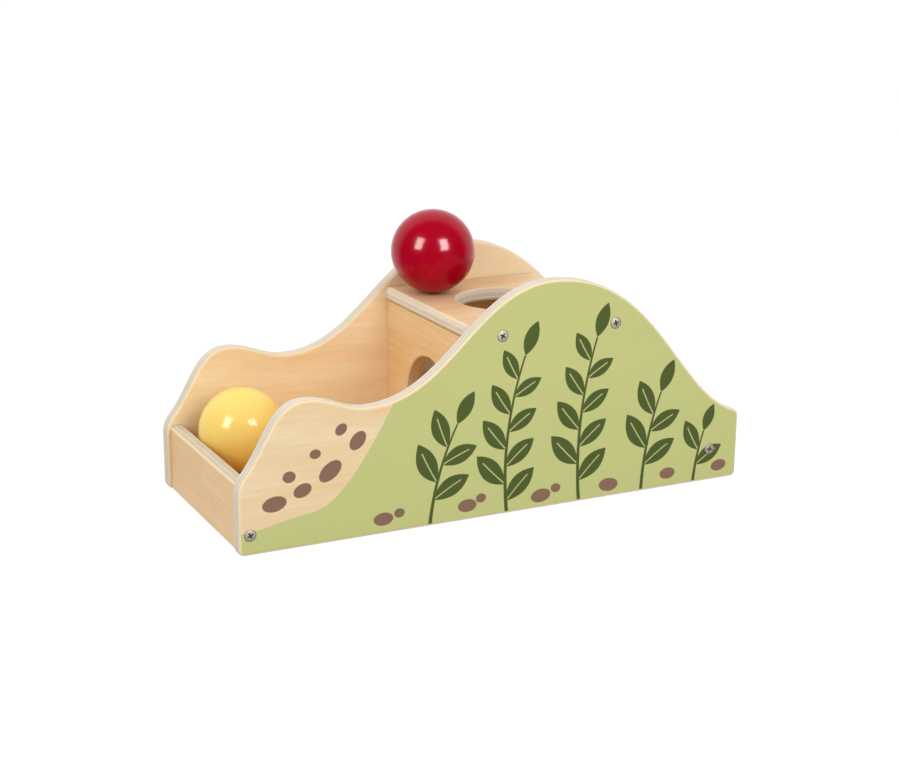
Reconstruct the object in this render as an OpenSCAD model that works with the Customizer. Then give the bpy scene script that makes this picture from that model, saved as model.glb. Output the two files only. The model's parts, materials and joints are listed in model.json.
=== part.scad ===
// Object permanence box: a wooden ball-drop toy with two outline-cut plywood sides.
// The head is at -X, the tail at +X, the left side at -Y. Millimetres, standing on Z = 0.

/* [Side panels] */
// Length of each side panel
panel_length = 296; // [285:1:320]
// Thickness of the plywood
ply_t = 8; // [6:0.5:10]
// Clear width between the two side panels
inner_w = 104.5; // [96:0.5:130]
// Round-over along the panels' outline
edge_r = 1.6; // [0.6:0.1:2.4]
// Height of the upright front edge
front_edge_h = 36.5; // [30:0.5:44]
// Height of the head's top
head_h = 76.2; // [66:0.2:90]
// Distance of the head's top from the front end
head_at = 36.5; // [30:0.5:44]
// Height of the neck's lowest point
neck_h = 68.5; // [56:0.5:76]
// Distance of the neck's lowest point from the front end
neck_at = 70.5; // [60:0.5:80]
// Height of the hump's top
hump_h = 124; // [118:0.5:140]
// Distance of the hump's top behind the panels' middle
hump_at = 27.5; // [17:0.5:37]
// Height of the tail's end
tail_h = 38.8; // [32:0.2:46]
// Softness of the corner under the head
snout_soft = 5; // [2:0.5:8]
// Softness of the corner at the tail's end
tail_soft = 3.5; // [2:0.5:8]
// Softness of the two bottom corners
foot_soft = 3.5; // [2.5:0.5:8]

/* [Boards] */
// Front board's distance behind the panels' front ends
front_setback = 2; // [0:0.5:6]
// Height of the front board's and the tail board's upper edge
low_board_h = 36.1; // [32:0.1:40]
// Height of the boards' lower edges over the ground
board_lift = 0.5; // [0.3:0.1:2]
// Distance of the exit wall's front face ahead of the panels' middle
exit_wall_at = 16.3; // [8:0.1:26]
// Height of the top board's upper face
deck_h = 101.2; // [95:0.2:108]
// Overhang of the top board ahead of the exit wall
deck_overhang = 1; // [0:0.1:2]
// Length of the top board, from front to rear
deck_length = 96; // [89:1:106]
// Distance of the tail board's middle from the panels' rear ends
tail_board_at = 18.6; // [12:0.2:30]
// Round-over along the boards' showing edges
board_edge_r = 2.8; // [0.5:0.1:2.9]

/* [Holes and floors] */
// Play of a ball in the drop hole, on the diameter
drop_play = 7.5; // [6:0.5:14]
// Distance of the drop hole's centre from the top board's front edge
drop_at = 49.1; // [43:0.1:55]
// Round-over of the drop hole's rims
drop_rim_r = 2.4; // [0.5:0.1:2.8]
// Play of a ball in the exit hole, on the diameter
exit_play = 7.5; // [6:0.5:14]
// Round-over of the exit hole's rims
exit_rim_r = 1; // [0.4:0.1:2]
// Slope of the floors, in degrees
floor_slope = 3.3; // [2:0.1:4]
// Height of the floors' upper faces at the middle of the exit wall
floor_h = 19.3; // [17:0.1:24]
// Depth of the exit hole's lowest point under the floors' upper faces
sill_drop = 0.8; // [0.5:0.1:1.4]

/* [Balls] */
// Diameter of the balls
ball_d = 46.5; // [45:0.5:50]
// Distance of the red ball's centre from the top board's front edge
red_at = 17.7; // [13:0.1:19]
// Gap between the yellow ball and the right side panel
yellow_side_gap = 3.4; // [0.3:0.1:10]
// Gap left where a ball lies against a board
ball_gap = 0.3; // [0.2:0.1:0.6]

/* [Screws] */
// Diameter of the screws' shanks
screw_d = 3.5; // [2.5:0.1:4]
// Diameter of the screws' heads
screw_head_d = 6.2; // [5.6:0.1:7.4]
// Depth of the heads' countersink
screw_sink = 2; // [1.4:0.1:2.6]
// Rise of the heads' crown over the panel
screw_crown = 0.3; // [0.1:0.1:0.6]
// Length of the screws from the panel's face to the tip
screw_length = 30; // [24:1:32]
// Length of the screws' tapered tips
screw_tip = 5; // [3:0.5:8]
// Length of one arm of the cross recess, across the head
recess_length = 3.4; // [2.6:0.1:4]
// Width of one arm of the cross recess
recess_w = 0.9; // [0.6:0.1:1.2]
// Depth of the cross recess under the panel's face
recess_depth = 1; // [0.6:0.1:1.4]
// Height of the front screws
front_screw_h = 10.6; // [9:0.1:26]
// Height of the tail screws
tail_screw_h = 18.2; // [9:0.1:28]
// Distance of the top screws from the outer faces of the walls under the top board
deck_screw_inset = 13.6; // [12:0.1:20]

/* [Dowels] */
// Diameter of the hidden dowels
dowel_d = 4; // [3:0.5:4.5]
// Depth of a dowel in the face of a board
dowel_bite = 5; // [4:0.5:5]
// Depth of a dowel in the edge of a board
dowel_reach = 10; // [8:0.5:16]
// Distance of each dowel from the middle of the toy
dowel_off = 22; // [14:0.5:24]
// Gap around screws and dowels in their holes
fit_gap = 0.1; // [0.05:0.05:0.3]

/* [Hidden] */
$fn = 96;

// How far a cut runs past the face that it opens
overrun = 1;

// Steps along the curves of the outline and along a round-over
corner_steps = 6;
head_steps = 18;
neck_steps = 16;
hump_steps = 32;
tail_steps = 32;
round_steps = 4;
rim_steps = 6;

// Pulls of the outline's curves, as shares of each curve's own width and height
snout_pull_shares = [0.44, 0.41];
head_pull_share = 0.52;
neck_pull_shares = [0.4, 0.39];
hump_pull_shares = [0.435, 0.44];
tail_pull_shares = [0.535, 0.33, 0.112];
// Where the outline leaves the two soft corners, along the head's and the tail's curve
snout_trim_share = 0.1;
tail_trim_share = 0.96;

// The turn of each screw's cross recess: front, deck front, deck rear, tail
recess_turns = [62, 28, 74, 12];

half_length = panel_length / 2;
half_inner = inner_w / 2;
half_w = half_inner + ply_t;
ball_r = ball_d / 2;
drop_r = (ball_d + drop_play) / 2;
exit_r = (ball_d + exit_play) / 2;

front_x = front_setback - half_length;
tray_x = front_x + ply_t;
exit_x = -exit_wall_at;
exit_mid_x = exit_x + ply_t / 2;
box_x = exit_x + ply_t;
deck_x = exit_x - deck_overhang;
deck_rear_x = deck_x + deck_length;
rear_x = deck_rear_x - ply_t;
tail_mid_x = half_length - tail_board_at;
drop_x = deck_x + drop_at;
wall_top = deck_h - ply_t;
deck_mid_h = deck_h - ply_t / 2;
exit_hole_h = floor_h - sill_drop + exit_r;
floor_drop = ply_t / cos(floor_slope);

// Screw places as [x, z]
front_screw_place = [front_x + ply_t / 2, front_screw_h];
deck_front_place = [exit_x + deck_screw_inset, deck_mid_h];
deck_rear_place = [deck_rear_x - deck_screw_inset, deck_mid_h];
tail_screw_place = [tail_mid_x, tail_screw_h];
screw_places = [front_screw_place, deck_front_place, deck_rear_place, tail_screw_place];

// Resting places of the balls
red_ball_place = [deck_x + red_at, half_inner - ball_r - ball_gap, deck_h + ball_r + ball_gap];
yellow_x = tray_x + ball_r + ball_gap;
yellow_ball_place = [
    yellow_x,
    half_inner - ball_r - yellow_side_gap,
    floor_at(yellow_x) + (ball_r + ball_gap) / cos(floor_slope)
];

// Colours as the toy shows them
birch = [0.91, 0.77, 0.59];
printed_green = [0.78, 0.79, 0.53];
ply_edge = [0.87, 0.83, 0.74];
lacquer_red = [0.69, 0.02, 0.12];
lacquer_yellow = [0.97, 0.82, 0.40];
nickel = [0.72, 0.70, 0.66];
beech = [0.82, 0.64, 0.45];

// Height of the floors' upper faces at a place along the toy
function floor_at(x) = floor_h + (x - exit_mid_x) * tan(floor_slope);

// Curves through two, three and four points
function mix(a, b, t) = a + (b - a) * t;
function quadratic(a, b, c, t) = mix(mix(a, b, t), mix(b, c, t), t);
function cubic(p, t) = mix(quadratic(p[0], p[1], p[2], t), quadratic(p[1], p[2], p[3], t), t);
function soft_corner(a, b, c) = [for (i = [0 : corner_steps]) quadratic(a, b, c, i / corner_steps)];
function curve(p, from, to, steps) = [for (i = [1 : steps]) cubic(p, mix(from, to, i / steps))];

// The outline's main points, from the front end
snout = [0, front_edge_h];
head = [head_at, head_h];
neck = [neck_at, neck_h];
hump = [half_length + hump_at, hump_h];
tail = [panel_length, tail_h];

// The outline's four curves, each with its two pulls
head_curve = [
    snout,
    [mix(snout.x, head.x, snout_pull_shares.x), mix(snout.y, head.y, snout_pull_shares.y)],
    [mix(head.x, snout.x, head_pull_share), head.y],
    head
];
neck_curve = [
    head,
    [mix(head.x, neck.x, neck_pull_shares[0]), head.y],
    [mix(neck.x, head.x, neck_pull_shares[1]), neck.y],
    neck
];
hump_curve = [
    neck,
    [mix(neck.x, hump.x, hump_pull_shares[0]), neck.y],
    [mix(hump.x, neck.x, hump_pull_shares[1]), hump.y],
    hump
];
tail_curve = [
    hump,
    [mix(hump.x, tail.x, tail_pull_shares[0]), hump.y],
    [mix(tail.x, hump.x, tail_pull_shares[1]), mix(tail.y, hump.y, tail_pull_shares[2])],
    tail
];

// The panel's outline, clockwise from the bottom of the front edge, with a foot point under the hump
// and one under the head
outline = concat(
    soft_corner([foot_soft, 0], [0, 0], [0, foot_soft]),
    soft_corner(snout - [0, snout_soft], snout, cubic(head_curve, snout_trim_share)),
    curve(head_curve, snout_trim_share, 1, head_steps),
    curve(neck_curve, 0, 1, neck_steps),
    curve(hump_curve, 0, 1, hump_steps),
    curve(tail_curve, 0, tail_trim_share, tail_steps),
    soft_corner(cubic(tail_curve, tail_trim_share), tail, tail - [0, tail_soft]),
    soft_corner([panel_length, foot_soft], [panel_length, 0], [panel_length - foot_soft, 0]),
    [[hump.x, 0], [head.x, 0]]
);

// The outline's points without doubles, and the direction into the panel at each point
function without_doubles(p) = [for (i = [0 : len(p) - 1]) if (p[i] != p[(i + 1) % len(p)]) p[i]];
function inward(p, i) =
    let (n = len(p), d = p[(i + 1) % n] - p[(i + n - 1) % n])
    [d.y, -d.x] / norm(d);

// One ring of points for each step of the two round-overs: [depth into the panel, inset]
near_rings = [
    for (i = [0 : round_steps])
        let (a = 90 * i / round_steps)
        [edge_r * (1 - cos(a)), edge_r * (1 - sin(a))]
];
far_rings = [for (i = [round_steps : -1 : 0]) [ply_t - near_rings[i].x, near_rings[i].y]];
panel_rings = concat(near_rings, far_rings);

// A plate cut to the outline with rounded edges, its outer face at Y = 0
module outline_plate() {
    rim = without_doubles(outline);
    count = len(rim);
    last = (len(panel_rings) - 1) * count;
    points = [
        for (ring = panel_rings, i = [0 : count - 1])
            let (p = rim[i] + inward(rim, i) * ring.y)
            [p.x, ring.x, p.y]
    ];
    bands = [
        for (k = [0 : len(panel_rings) - 2], i = [0 : count - 1])
            let (a = k * count + i, b = k * count + (i + 1) % count)
            each [[a, a + count, b + count], [a, b + count, b]]
    ];
    // Each flat face falls into a part in front of the neck and one behind it, and each part opens like
    // a fan from its foot point
    low = 2 * (corner_steps + 1) + head_steps + neck_steps - 1;
    under_hump = count - 2;
    under_head = count - 1;
    near_front = concat(under_head, [for (i = [0 : low]) i]);
    near_rear = concat(under_hump, under_head, [for (i = [low : under_hump - 1]) i]);
    far_front = concat(under_head, [for (i = [low : -1 : 0]) i]);
    far_rear = concat(under_hump, [for (i = [under_hump - 1 : -1 : low]) i], under_head);
    near_faces = [near_front, near_rear];
    far_faces = [for (face = [far_front, far_rear]) [for (i = face) last + i]];
    polyhedron(points, concat(near_faces, far_faces, bands), convexity = 6);
}

// Places a shape made along +Z so that it runs into the left panel at a screw's place
module into_left(place) {
    translate([place.x, -half_w, place.y])
        rotate([-90, 0, 0])
            children();
}

// Draws what it is given on both sides of the toy
module both_sides() {
    children();
    mirror([0, 1, 0])
        children();
}

// Countersunk hole for one screw, through the panel and into a board
module screw_hole() {
    head_r = screw_head_d / 2 + fit_gap;
    shank_r = screw_d / 2 + fit_gap;
    rotate_extrude()
        polygon([
            [0, -overrun],
            [head_r, -overrun],
            [head_r, 0],
            [shank_r, screw_sink],
            [shank_r, screw_length + fit_gap],
            [0, screw_length + fit_gap]
        ]);
}

// Cross-head wood screw with a low crown, its rim level with the panel's face
module screw(turn) {
    head_r = screw_head_d / 2;
    shank_r = screw_d / 2;
    crown = [
        for (i = [0 : rim_steps])
            let (a = 90 * i / rim_steps)
            [head_r * sin(a), -screw_crown * cos(a)]
    ];
    difference() {
        rotate_extrude()
            polygon(concat(crown, [
                [shank_r, screw_sink],
                [shank_r, screw_length - screw_tip],
                [0, screw_length]
            ]));
        for (arm = [0, 90])
            rotate(turn + arm)
                translate([-recess_length / 2, -recess_w / 2, -overrun])
                    cube([recess_length, recess_w, overrun + recess_depth]);
    }
}

// One of the left panel's screws, and its mirror image in the right panel
module left_screw(i) {
    color(nickel)
        into_left(screw_places[i])
            screw(recess_turns[i]);
}
module right_screw(i) {
    mirror([0, 1, 0])
        left_screw(i);
}

// A pair of dowels, or of their holes, along the toy at a height, from one end to the other
module level_dowels(z, from, to, gap) {
    both_sides()
        translate([from - gap, dowel_off, z])
            rotate([0, 90, 0])
                cylinder(h = to - from + 2 * gap, d = dowel_d + 2 * gap);
}

// A pair of upright dowels, or of their holes, across the joint of a wall and the top board
module upright_dowels(x, gap) {
    both_sides()
        translate([x, dowel_off, wall_top - dowel_reach - gap])
            cylinder(h = dowel_reach + dowel_bite + 2 * gap, d = dowel_d + 2 * gap);
}

// The four joints of the floors' dowels
module front_floor_pegs(gap) {
    z = floor_at(tray_x + dowel_reach / 2) - floor_drop / 2;
    level_dowels(z, tray_x - dowel_bite, tray_x + dowel_reach, gap);
}
module exit_floor_pegs(gap) {
    z = floor_h - floor_drop / 2;
    level_dowels(z, exit_x - dowel_reach, box_x + dowel_reach, gap);
}
module rear_floor_pegs(gap) {
    z = floor_at(rear_x - dowel_reach / 2) - floor_drop / 2;
    level_dowels(z, rear_x - dowel_reach, rear_x + dowel_bite, gap);
}

// Cutter for a round hole through a board, with a round-over at both rims
module rimmed_hole(r, rim_r) {
    rim = [
        for (i = [0 : rim_steps])
            let (a = 90 * i / rim_steps)
            [r + rim_r * (1 - sin(a)), rim_r * (1 - cos(a))]
    ];
    far_rim = [for (i = [rim_steps : -1 : 0]) [rim[i].x, ply_t - rim[i].y]];
    rotate_extrude()
        polygon(concat(
            [[0, -overrun], [r + rim_r, -overrun]],
            rim,
            far_rim,
            [[r + rim_r, ply_t + overrun], [0, ply_t + overrun]]
        ));
}

// Quarter circle of a round-over about a centre, from one angle on
function quarter(centre, r, from) = [
    for (i = [0 : rim_steps])
        let (a = from + 90 * i / rim_steps)
        centre + r * [cos(a), sin(a)]
];

// A board across the toy, from its section in [x, z]
module across(section) {
    rotate([90, 0, 0])
        linear_extrude(height = inner_w, center = true)
            polygon(section);
}

// Low upright board with a rounded upper edge
module low_board(x) {
    shoulder = low_board_h - board_edge_r;
    across(concat(
        [[x, board_lift], [x + ply_t, board_lift]],
        quarter([x + ply_t - board_edge_r, shoulder], board_edge_r, 0),
        quarter([x + board_edge_r, shoulder], board_edge_r, 90)
    ));
}

// Full-height upright board under the top board
module wall(x) {
    across([[x, board_lift], [x + ply_t, board_lift], [x + ply_t, wall_top], [x, wall_top]]);
}

// Sloping floor board between two upright faces
module floor_board(from, to) {
    across([
        [from, floor_at(from) - floor_drop],
        [to, floor_at(to) - floor_drop],
        [to, floor_at(to)],
        [from, floor_at(from)]
    ]);
}

module left_panel_shape() {
    difference() {
        translate([-half_length, -half_w, 0])
            outline_plate();
        for (place = screw_places)
            into_left(place)
                screw_hole();
    }
}

module left_side_panel() {
    color(printed_green)
        left_panel_shape();
}

module right_side_panel() {
    color(printed_green)
        mirror([0, 1, 0])
            left_panel_shape();
}

module front_board() {
    color(birch)
        difference() {
            low_board(front_x);
            both_sides()
                into_left(front_screw_place)
                    screw_hole();
            front_floor_pegs(fit_gap);
        }
}

module tray_floor() {
    color(birch)
        difference() {
            floor_board(tray_x, exit_x);
            front_floor_pegs(fit_gap);
            exit_floor_pegs(fit_gap);
        }
}

module exit_wall() {
    color(birch)
        difference() {
            wall(exit_x);
            translate([exit_x, 0, exit_hole_h])
                rotate([0, 90, 0])
                    rimmed_hole(exit_r, exit_rim_r);
            exit_floor_pegs(fit_gap);
            upright_dowels(exit_mid_x, fit_gap);
        }
}

module box_ramp() {
    color(birch)
        difference() {
            floor_board(box_x, rear_x);
            exit_floor_pegs(fit_gap);
            rear_floor_pegs(fit_gap);
        }
}

module rear_wall() {
    color(birch)
        difference() {
            wall(rear_x);
            rear_floor_pegs(fit_gap);
            upright_dowels(rear_x + ply_t / 2, fit_gap);
        }
}

module top_board() {
    color(ply_edge)
        difference() {
            across(concat(
                quarter([deck_x + board_edge_r, deck_h - board_edge_r], board_edge_r, 90),
                quarter([deck_x + board_edge_r, wall_top + board_edge_r], board_edge_r, 180),
                quarter([deck_rear_x - board_edge_r, wall_top + board_edge_r], board_edge_r, 270),
                quarter([deck_rear_x - board_edge_r, deck_h - board_edge_r], board_edge_r, 0)
            ));
            translate([drop_x, 0, wall_top])
                rimmed_hole(drop_r, drop_rim_r);
            both_sides()
                for (place = [deck_front_place, deck_rear_place])
                    into_left(place)
                        screw_hole();
            upright_dowels(exit_mid_x, fit_gap);
            upright_dowels(rear_x + ply_t / 2, fit_gap);
        }
}

module tail_board() {
    color(birch)
        difference() {
            low_board(tail_mid_x - ply_t / 2);
            both_sides()
                into_left(tail_screw_place)
                    screw_hole();
        }
}

module red_ball() {
    color(lacquer_red)
        translate(red_ball_place)
            sphere(d = ball_d);
}

module yellow_ball() {
    color(lacquer_yellow)
        translate(yellow_ball_place)
            sphere(d = ball_d);
}

module front_floor_dowels() {
    color(beech)
        front_floor_pegs(0);
}

module exit_floor_dowels() {
    color(beech)
        exit_floor_pegs(0);
}

module rear_floor_dowels() {
    color(beech)
        rear_floor_pegs(0);
}

module exit_top_dowels() {
    color(beech)
        upright_dowels(exit_mid_x, 0);
}

module rear_top_dowels() {
    color(beech)
        upright_dowels(rear_x + ply_t / 2, 0);
}

left_side_panel();
right_side_panel();
front_board();
tray_floor();
exit_wall();
box_ramp();
rear_wall();
top_board();
tail_board();
red_ball();
yellow_ball();
left_screw(0);  // left_front_screw
left_screw(1);  // left_deck_front_screw
left_screw(2);  // left_deck_rear_screw
left_screw(3);  // left_tail_screw
right_screw(0);  // right_front_screw
right_screw(1);  // right_deck_front_screw
right_screw(2);  // right_deck_rear_screw
right_screw(3);  // right_tail_screw
front_floor_dowels();
exit_floor_dowels();
rear_floor_dowels();
exit_top_dowels();
rear_top_dowels();
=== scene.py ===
"""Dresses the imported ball-drop toy: plywood, print, lacquer and screws, with a studio and a camera."""
import json
import logging
import math
import operator
from collections.abc import Mapping, Sequence
from dataclasses import dataclass, field
from enum import Enum
from functools import reduce
from typing import Any, NamedTuple, Optional, Union

import bmesh
import bpy
from mathutils import Matrix, Vector


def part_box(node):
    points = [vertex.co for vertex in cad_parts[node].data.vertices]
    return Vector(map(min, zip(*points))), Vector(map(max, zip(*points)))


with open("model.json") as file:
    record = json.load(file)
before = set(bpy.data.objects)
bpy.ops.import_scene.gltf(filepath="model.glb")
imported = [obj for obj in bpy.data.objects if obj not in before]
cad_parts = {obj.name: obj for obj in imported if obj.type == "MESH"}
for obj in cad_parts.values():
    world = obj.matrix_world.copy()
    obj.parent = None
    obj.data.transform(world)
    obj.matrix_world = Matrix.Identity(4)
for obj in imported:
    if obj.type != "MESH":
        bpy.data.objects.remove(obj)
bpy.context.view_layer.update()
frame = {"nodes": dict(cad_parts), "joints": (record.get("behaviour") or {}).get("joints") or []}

log = logging.getLogger("ball_drop_toy")

Colour = tuple[float, float, float, float]
Span = tuple[float, float]

MM = 0.001
FULL_TURN = 2 * math.pi
NOISE_MIDDLE = 0.5
WHITE: Colour = (1.0, 1.0, 1.0, 1.0)


def srgb(red: int, green: int, blue: int) -> Colour:
    """Turns a colour as the eye reads it into the linear colour that shaders take.

    Args:
        red: Red, from 0 to 255.
        green: Green, likewise.
        blue: Blue, likewise.

    Returns:
        The linear colour with full alpha.
    """
    def linear(channel: int) -> float:
        """One channel on the sRGB curve."""
        share = channel / 255
        return share / 12.92 if share <= 0.04045 else ((share + 0.055) / 1.055) ** 2.4

    return (linear(red), linear(green), linear(blue), 1.0)


class Flow:
    """What flows out of a node's socket. Python's operators on it add Math nodes."""

    def __init__(self, graph: "Graph", socket: bpy.types.NodeSocket) -> None:
        """Wraps one output socket of a graph."""
        self.graph = graph
        self.socket = socket

    def outlet(self, name: str) -> "Flow":
        """Another output of the same node, by its name."""
        return Flow(self.graph, self.socket.node.outputs[name])

    def _math(self, operation: str, *values: "Value", clamp: bool = False) -> "Flow":
        """Adds one Math node.

        Args:
            operation: The Math node's operation.
            values: Its inputs in order.
            clamp: Whether the result is kept between 0 and 1.

        Returns:
            The node's result.
        """
        settings = {"operation": operation, "use_clamp": clamp}
        return self.graph.node("ShaderNodeMath", settings, dict(enumerate(values)))

    def __add__(self, other: "Value") -> "Flow":
        """self + other"""
        return self._math("ADD", self, other)

    def __radd__(self, other: "Value") -> "Flow":
        """other + self"""
        return self._math("ADD", other, self)

    def __sub__(self, other: "Value") -> "Flow":
        """self - other"""
        return self._math("SUBTRACT", self, other)

    def __rsub__(self, other: "Value") -> "Flow":
        """other - self"""
        return self._math("SUBTRACT", other, self)

    def __mul__(self, other: "Value") -> "Flow":
        """self * other"""
        return self._math("MULTIPLY", self, other)

    def __rmul__(self, other: "Value") -> "Flow":
        """other * self"""
        return self._math("MULTIPLY", other, self)

    def __truediv__(self, other: "Value") -> "Flow":
        """self / other"""
        return self._math("DIVIDE", self, other)

    def __rtruediv__(self, other: "Value") -> "Flow":
        """other / self"""
        return self._math("DIVIDE", other, self)

    def __abs__(self) -> "Flow":
        """abs(self)"""
        return self._math("ABSOLUTE", self)

    def __gt__(self, other: "Value") -> "Flow":
        """1 where self > other, else 0"""
        return self._math("GREATER_THAN", self, other)

    def __lt__(self, other: "Value") -> "Flow":
        """1 where self < other, else 0"""
        return self._math("LESS_THAN", self, other)

    def __or__(self, other: "Value") -> "Flow":
        """The larger of two masks, which joins their areas."""
        return self._math("MAXIMUM", self, other)

    def __and__(self, other: "Value") -> "Flow":
        """The product of two masks, which keeps the area they share."""
        return self._math("MULTIPLY", self, other)

    def least(self, other: "Value") -> "Flow":
        """The smaller of two values."""
        return self._math("MINIMUM", self, other)

    def floor(self) -> "Flow":
        """The whole number at or below."""
        return self._math("FLOOR", self)

    def root(self) -> "Flow":
        """The square root."""
        return self._math("SQRT", self)

    def sine(self) -> "Flow":
        """The sine of an angle in radians."""
        return self._math("SINE", self)

    def angle_over(self, other: "Value") -> "Flow":
        """The angle of the point (other, self), in radians."""
        return self._math("ARCTAN2", self, other)

    def clamped(self) -> "Flow":
        """The value kept between 0 and 1."""
        return self._math("ADD", self, 0.0, clamp=True)


Value = Union[Flow, float]
Tint = Union[Flow, Colour]


class Graph:
    """A node tree, and the ways in which nodes are added to it."""

    def __init__(self, tree: bpy.types.NodeTree, material: Optional[bpy.types.Material] = None) -> None:
        """Takes over a tree and empties it.

        Args:
            tree: The node tree.
            material: The material that it belongs to, if any.
        """
        self.tree = tree
        self.material = material
        tree.nodes.clear()

    @classmethod
    def of_material(cls, name: str) -> "Graph":
        """Makes a new material.

        Args:
            name: The material's name.

        Returns:
            The material's empty graph.
        """
        material = bpy.data.materials.new(name)
        material.use_nodes = True
        return cls(material.node_tree, material)

    def node(
        self,
        kind: str,
        settings: Optional[Mapping[str, Any]] = None,
        inputs: Optional[Mapping[Union[str, int], Any]] = None,
        output: Union[str, int] = 0,
    ) -> Optional[Flow]:
        """Adds a node of any type.

        Args:
            kind: The node's type.
            settings: Its properties, set first; "stops" gives a ramp's positions and colours.
            inputs: Values or flows for its sockets, by name or index.
            output: The output to go on with.

        Returns:
            The chosen output, or None for a node without outputs.
        """
        made = self.tree.nodes.new(kind)
        for name, setting in (settings or {}).items():
            if name == "stops":
                self._set_stops(made.color_ramp, setting)
            else:
                setattr(made, name, setting)
        for key, value in (inputs or {}).items():
            if isinstance(value, Flow):
                self.tree.links.new(value.socket, made.inputs[key])
            else:
                made.inputs[key].default_value = value
        return Flow(self, made.outputs[output]) if made.outputs else None

    @staticmethod
    def _set_stops(ramp: bpy.types.ColorRamp, stops: Sequence[tuple[float, Colour]]) -> None:
        """Gives a colour ramp its stops.

        Args:
            ramp: The ramp.
            stops: Pairs of a position and a colour.
        """
        while len(ramp.elements) < len(stops):
            ramp.elements.new(1.0)
        for element, (position, colour) in zip(ramp.elements, stops):
            element.position = position
            element.color = colour

    def point(self, x: Value, y: Value, z: Value) -> Flow:
        """A vector from its three parts."""
        return self.node("ShaderNodeCombineXYZ", None, {0: x, 1: y, 2: z})

    def parts(self, vector: Flow) -> tuple[Flow, Flow, Flow]:
        """The three parts of a vector."""
        x = self.node("ShaderNodeSeparateXYZ", None, {0: vector})
        return x, x.outlet("Y"), x.outlet("Z")

    def dot(self, vector: Flow, direction: Vector) -> Flow:
        """How far a vector reaches along a direction."""
        settings = {"operation": "DOT_PRODUCT"}
        return self.node("ShaderNodeVectorMath", settings, {0: vector, 1: direction}, "Value")

    def noise(self, point: Flow, detail: float = 2.0) -> Flow:
        """Soft noise, NOISE_MIDDLE on average, one unit of the point to a lump."""
        inputs = {"Vector": point, "Scale": 1.0, "Detail": detail}
        return self.node("ShaderNodeTexNoise", {"noise_dimensions": "3D"}, inputs)

    def ease(self, value: Flow, span: Span) -> Flow:
        """A soft step from 0 where a span starts to 1 where it ends."""
        inputs = {"Value": value, "From Min": span[0], "From Max": span[1]}
        return self.node("ShaderNodeMapRange", {"interpolation_type": "SMOOTHSTEP"}, inputs)

    def mix(self, share: Value, first: Tint, second: Tint, blend: str = "MIX") -> Flow:
        """Mixes two colours.

        Args:
            share: The second colour's share.
            first: The colour at a share of 0.
            second: The colour at a share of 1.
            blend: The Mix node's way of mixing.

        Returns:
            The mixed colour.
        """
        settings = {"data_type": "RGBA", "blend_type": blend}
        return self.node("ShaderNodeMix", settings, {0: share, 6: first, 7: second}, output=2)

    def place(self) -> Flow:
        """The place on the piece in the toy's own frame, in millimetres."""
        raw = self.node("ShaderNodeTexCoord", output="Object")
        return self.node("ShaderNodeVectorMath", {"operation": "SCALE"}, {0: raw, "Scale": 1 / MM})

    def relief(self, height: Flow, depth: float) -> Flow:
        """A normal that follows a height from 0 to 1, with its full depth in millimetres."""
        return self.node("ShaderNodeBump", None, {"Strength": 1.0, "Distance": depth * MM, "Height": height})

    def coat(self, inputs: Mapping[str, Any]) -> bpy.types.Material:
        """Ends the graph in a Principled shader.

        Args:
            inputs: Values or flows for the shader's sockets.

        Returns:
            The material that the graph belongs to.
        """
        shader = self.node("ShaderNodeBsdfPrincipled", None, inputs)
        self.node("ShaderNodeOutputMaterial", None, {"Surface": shader})
        return self.material


class Along(Enum):
    """The toy's own directions."""

    LENGTH = Vector((1, 0, 0))
    WIDTH = Vector((0, 1, 0))
    HEIGHT = Vector((0, 0, 1))


class BoardAxes(NamedTuple):
    """A place in a board: depth under its face, along its grain and across it, in millimetres."""

    depth: Flow
    along: Flow
    across: Flow


class Figure(NamedTuple):
    """A veneer's colour, its tone from deep 0 to light 1, and its fibres from 0 to 1."""

    colour: Flow
    tone: Flow
    fibre: Flow


@dataclass(frozen=True)
class Lay:
    """How a board lies in the toy.

    face is a point of its face in millimetres, inward points from there through the board, and
    grain runs along its veneer. A mirrored board stands on both sides of the toy.
    """

    face: Vector
    inward: Vector
    grain: Vector
    mirrored: bool = False

    def axes(self, graph: Graph) -> BoardAxes:
        """Adds the nodes that give a place in the board.

        Args:
            graph: The material's graph.

        Returns:
            The place as depth, along and across.
        """
        place = graph.place()
        if self.mirrored:
            x, y, z = graph.parts(place)
            place = graph.point(x, abs(y), z)
        depth = graph.dot(place, self.inward) - self.face.dot(self.inward)
        along = graph.dot(place, self.grain)
        across = graph.dot(place, self.inward.cross(self.grain))
        return BoardAxes(depth, along, across)


@dataclass(frozen=True)
class Strands:
    """Noise drawn out along the grain, with a strand's width and length in millimetres.

    layer sets one kind of strand apart from the others in the same sheet.
    """

    width: float
    length: float
    layer: float
    detail: float

    def draw(self, graph: Graph, along: Flow, across: Flow, seed: float) -> Flow:
        """Draws the strands, from the place along and across the grain and the sheet's seed."""
        place = graph.point(along / self.length, across / self.width, seed + self.layer)
        return graph.noise(place, self.detail)


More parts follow.
